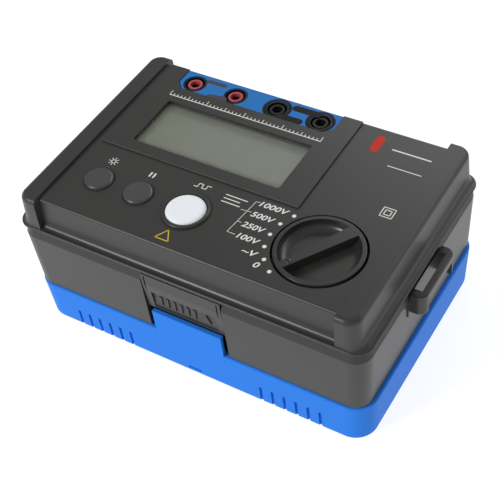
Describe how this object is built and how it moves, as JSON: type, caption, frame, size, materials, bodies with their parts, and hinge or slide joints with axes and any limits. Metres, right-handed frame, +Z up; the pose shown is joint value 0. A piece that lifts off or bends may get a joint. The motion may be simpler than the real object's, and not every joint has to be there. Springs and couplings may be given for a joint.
{
  "type": "insulation resistance tester",
  "caption": "Bench insulation resistance tester standing in its storage lid: display, turn knob, keys and shrouded test sockets on a flat panel.",
  "frame": {"origin": "middle of the storage lid's underside", "axes": "+X along the length with the selector knob at +X, +Y to the back where the sockets are, +Z up"},
  "size_m": [0.216, 0.131, 0.0902],
  "materials": {
    "blue_plastic": "smooth semi-gloss moulding",
    "blue_label": "printed label",
    "case_plastic": "fine textured moulding",
    "black_plastic": "smooth moulding",
    "red_plastic": "smooth moulding",
    "white_plastic": "smooth moulding",
    "dark_button": "satin moulding",
    "clear_plastic": "clear moulded window",
    "lcd_glass": "display cell with a grey-green polariser",
    "fuse_glass": "glass tube with metal caps",
    "seal_rubber": "matte",
    "brass": "turned",
    "spring_steel": "drawn wire or ground steel",
    "zinc_steel": "zinc plated",
    "board": "solder mask on glass laminate",
    "ferrite": "sintered",
    "copper_winding": "taped winding",
    "capacitor_sleeve": "shrunk sleeve",
    "cell_jacket": "printed steel jacket"
  },
  "bodies": {
    "lid": {"storage_lid": "blue_plastic"},
    "knob": {"selector_knob": "dark_button", "switch_rotor": "white_plastic", "detent_balls": "spring_steel", "detent_springs": "spring_steel", "shaft_clip": "spring_steel"},
    "light_key": {"light_button": "dark_button"},
    "hold_key": {"hold_button": "dark_button"},
    "test_key": {"test_button": "white_plastic"},
    "catch": {"catch_plate": "case_plastic"},
    "case": {"terminal_label": "blue_label", "upper_shell": "case_plastic", "lower_shell": "case_plastic", "case_seal": "seal_rubber", "strap_bracket_right": "case_plastic", "strap_bracket_left": "case_plastic", "socket_line": "black_plastic", "socket_volts": "black_plastic", "socket_guard": "black_plastic", "socket_earth": "black_plastic", "sleeve_line": "red_plastic", "sleeve_volts": "red_plastic", "sleeve_guard": "black_plastic", "sleeve_earth": "black_plastic", "socket_contacts": "brass", "display_lens": "clear_plastic", "display_frame": "black_plastic", "display_glass": "lcd_glass", "backlight_plate": "white_plastic", "contact_strips": "seal_rubber", "light_spring": "spring_steel", "hold_spring": "spring_steel", "test_spring": "spring_steel", "key_switches": "black_plastic", "test_switch": "black_plastic", "detent_ring": "white_plastic", "main_board": "board", "board_screws": "zinc_steel", "main_board_chips": "black_plastic", "power_board": "board", "power_board_screws": "zinc_steel", "transformer_core": "ferrite", "transformer_winding": "copper_winding", "reservoir_capacitors": "capacitor_sleeve", "output_relay": "black_plastic", "buzzer": "black_plastic", "fuse": "fuse_glass", "fuse_clips": "brass", "battery_holder": "black_plastic", "battery_cells": "cell_jacket", "battery_contacts": "spring_steel", "battery_door": "case_plastic", "door_screw": "zinc_steel", "case_screws": "zinc_steel", "rubber_feet": "seal_rubber", "catch_pin": "spring_steel", "catch_spring": "spring_steel"}
  },
  "joints": [
    {"name": "case_lift", "type": "slide", "parent": "lid", "child": "case", "axis": [0, 0, 1], "range_m": [0, 0.1]},
    {"name": "range_turn", "type": "hinge", "parent": "case", "child": "knob", "pos_m": [0.0595, -0.0297, 0.08], "axis": [0, 0, -1], "range_deg": [0, 90]},
    {"name": "light_press", "type": "slide", "parent": "case", "child": "light_key", "axis": [0, 0, -1], "range_m": [0, 0.0015], "stiffness_N_per_m": 600, "springref_m": -0.001, "deforming": ["light_spring"]},
    {"name": "hold_press", "type": "slide", "parent": "case", "child": "hold_key", "axis": [0, 0, -1], "range_m": [0, 0.0015], "stiffness_N_per_m": 600, "springref_m": -0.001, "deforming": ["hold_spring"]},
    {"name": "test_press", "type": "slide", "parent": "case", "child": "test_key", "axis": [0, 0, -1], "range_m": [0, 0.0025], "stiffness_N_per_m": 800, "springref_m": -0.001, "deforming": ["test_spring"]},
    {"name": "catch_push", "type": "hinge", "parent": "case", "child": "catch", "pos_m": [0, -0.0617, 0.0624], "axis": [1, 0, 0], "range_deg": [0, 3.5], "stiffness_Nm_per_rad": 2, "springref_deg": -2.86}
  ]
}
